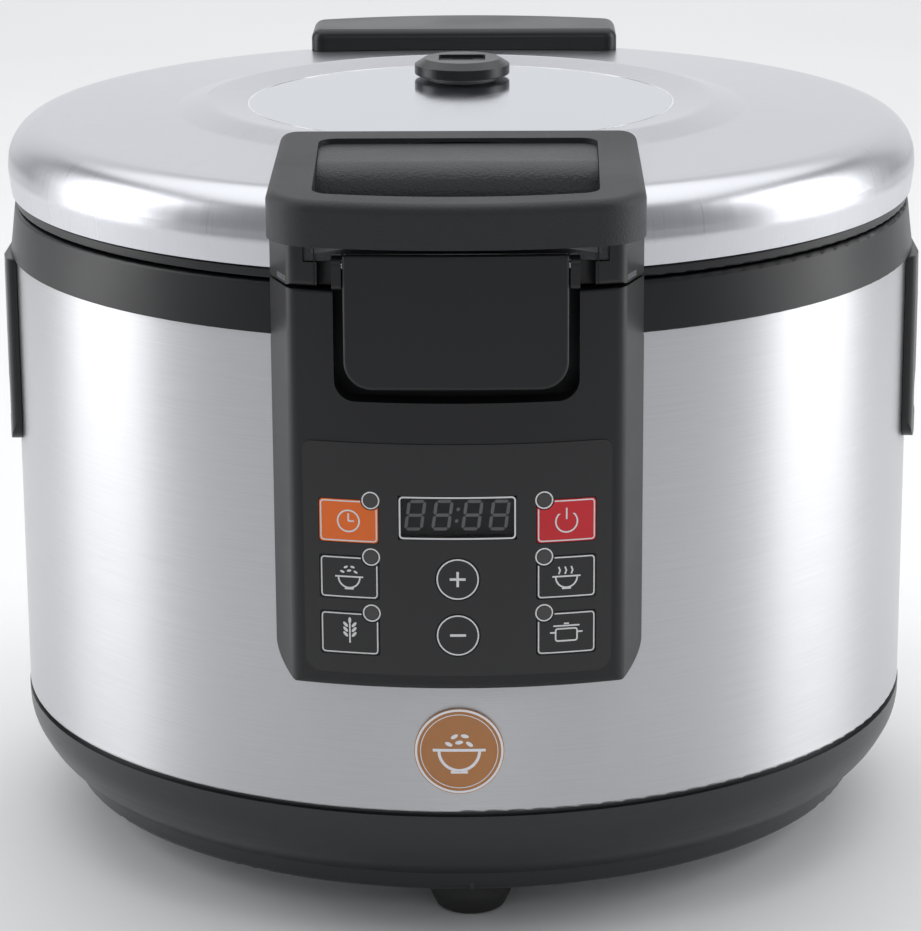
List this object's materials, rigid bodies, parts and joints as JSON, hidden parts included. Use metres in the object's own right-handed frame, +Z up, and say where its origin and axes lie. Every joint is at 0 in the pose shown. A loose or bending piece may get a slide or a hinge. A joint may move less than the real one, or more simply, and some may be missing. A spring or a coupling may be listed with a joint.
{
  "type": "rice cooker",
  "caption": "Large round rice cooker with a hinged domed lid, a latch under the lid's front handle, a control box with keys and display, side grips, inner pot and rear power inlet.",
  "frame": {"origin": "on the standing plane, under the inner pot's axis", "axes": "+Z up, -Y towards the control panel, +X to the right of somebody facing the panel"},
  "size_m": [0.4392, 0.4862, 0.3532],
  "materials": {
    "base_plastic": "satin",
    "body_plastic": "satin",
    "grip_plastic": "fine blasted grain",
    "scoop_plastic": "grained",
    "cap_plastic": "satin",
    "foot_rubber": "matt",
    "seal_silicone": "matt",
    "casing_steel": "horizontal brush",
    "lid_steel": "satin",
    "inner_steel": "plain",
    "screw_steel": "plated",
    "spring_steel": "plain",
    "cast_aluminium": "cast",
    "pot_aluminium": "satin",
    "disc_finish": "gloss",
    "panel_film": "satin film",
    "display_lens": "dark lens",
    "module_plastic": "gloss",
    "lamp_lens": "gloss",
    "circuit_board": "gloss",
    "badge_enamel": "enamel",
    "pin_brass": "plain",
    "key_orange": "satin",
    "key_red": "satin",
    "key_dark": "satin"
  },
  "bodies": {
    "cooker_body": {"base_tray": "base_plastic", "bottom_cover": "inner_steel", "rubber_feet": "foot_rubber", "case_screws": "screw_steel", "outer_casing": "casing_steel", "upper_ring": "body_plastic", "side_handle_left": "body_plastic", "side_handle_right": "body_plastic", "inner_chamber": "inner_steel", "side_heater_band": "inner_steel", "heating_plate": "cast_aluminium", "heating_element": "inner_steel", "inner_pot": "pot_aluminium", "sensor_holder": "inner_steel", "sensor_spring": "spring_steel", "thermal_fuse": "inner_steel", "control_box": "body_plastic", "panel_overlay": "panel_film", "display_window": "display_lens", "display_module": "module_plastic", "indicator_lenses": "lamp_lens", "control_board": "circuit_board", "tact_switches": "module_plastic", "power_board": "circuit_board", "power_components": "module_plastic", "latch_catch": "inner_steel", "badge": "badge_enamel", "rear_housing": "body_plastic", "hinge_bracket": "inner_steel", "hinge_shaft": "screw_steel", "hinge_spring": "spring_steel", "power_inlet": "body_plastic", "inlet_pins": "pin_brass"},
    "lid": {"lid_cover": "lid_steel", "lid_frame": "body_plastic", "lid_liner": "inner_steel", "lid_inner_plate": "pot_aluminium", "lid_gasket": "seal_silicone", "inner_plate_knob": "seal_silicone", "top_disc": "disc_finish", "steam_valve_seat": "seal_silicone", "handle_frame": "grip_plastic", "handle_scoop": "scoop_plastic", "latch_housing": "body_plastic", "lid_screws": "screw_steel", "hinge_cover": "body_plastic", "lid_hinge_arms": "inner_steel", "latch_pin": "screw_steel", "latch_spring": "spring_steel"},
    "latch_lever": {"latch_lever": "body_plastic"},
    "steam_cap": {"steam_cap": "cap_plastic"},
    "sensor_cap": {"sensor_cap": "cast_aluminium"},
    "key_timer": {"key_timer": "key_orange"},
    "key_rice": {"key_rice": "key_dark"},
    "key_husked_rice": {"key_husked_rice": "key_dark"},
    "key_cancel": {"key_cancel": "key_red"},
    "key_porridge": {"key_porridge": "key_dark"},
    "key_soup": {"key_soup": "key_dark"},
    "key_plus": {"key_plus": "key_dark"},
    "key_minus": {"key_minus": "key_dark"}
  },
  "joints": [
    {"name": "lid_hinge", "type": "hinge", "parent": "cooker_body", "child": "lid", "pos_m": [0, 0.218, 0.318], "axis": [-1, 0, 0], "range_deg": [0, 85], "stiffness_Nm_per_rad": 2, "springref_deg": 85},
    {"name": "latch_pivot", "type": "hinge", "parent": "lid", "child": "latch_lever", "pos_m": [0, -0.238, 0.316], "axis": [-1, 0, 0], "range_deg": [0, 20], "stiffness_Nm_per_rad": 0.3, "springref_deg": -14.32},
    {"name": "steam_cap_lift", "type": "slide", "parent": "lid", "child": "steam_cap", "axis": [0, 0, 1], "range_m": [0, 0.04]},
    {"name": "sensor_slide", "type": "slide", "parent": "cooker_body", "child": "sensor_cap", "axis": [0, 0, -1], "range_m": [0, 0.0025], "stiffness_N_per_m": 300, "springref_m": -0.004, "deforming": ["sensor_spring"]},
    {"name": "key_timer_press", "type": "slide", "parent": "cooker_body", "child": "key_timer", "axis": [0.1978, 0.9802, 0], "range_m": [0, 0.0005], "stiffness_N_per_m": 800, "springref_m": -0.0005},
    {"name": "key_rice_press", "type": "slide", "parent": "cooker_body", "child": "key_rice", "axis": [0.1978, 0.9802, 0], "range_m": [0, 0.0005], "stiffness_N_per_m": 800, "springref_m": -0.0005},
    {"name": "key_husked_rice_press", "type": "slide", "parent": "cooker_body", "child": "key_husked_rice", "axis": [0.1978, 0.9802, 0], "range_m": [0, 0.0005], "stiffness_N_per_m": 800, "springref_m": -0.0005},
    {"name": "key_cancel_press", "type": "slide", "parent": "cooker_body", "child": "key_cancel", "axis": [-0.1978, 0.9802, 0], "range_m": [0, 0.0005], "stiffness_N_per_m": 800, "springref_m": -0.0005},
    {"name": "key_porridge_press", "type": "slide", "parent": "cooker_body", "child": "key_porridge", "axis": [-0.1978, 0.9802, 0], "range_m": [0, 0.0005], "stiffness_N_per_m": 800, "springref_m": -0.0005},
    {"name": "key_soup_press", "type": "slide", "parent": "cooker_body", "child": "key_soup", "axis": [-0.1978, 0.9802, 0], "range_m": [0, 0.0005], "stiffness_N_per_m": 800, "springref_m": -0.0005},
    {"name": "key_plus_press", "type": "slide", "parent": "cooker_body", "child": "key_plus", "axis": [0, 1, 0], "range_m": [0, 0.0005], "stiffness_N_per_m": 800, "springref_m": -0.0005},
    {"name": "key_minus_press", "type": "slide", "parent": "cooker_body", "child": "key_minus", "axis": [0, 1, 0], "range_m": [0, 0.0005], "stiffness_N_per_m": 800, "springref_m": -0.0005}
  ]
}
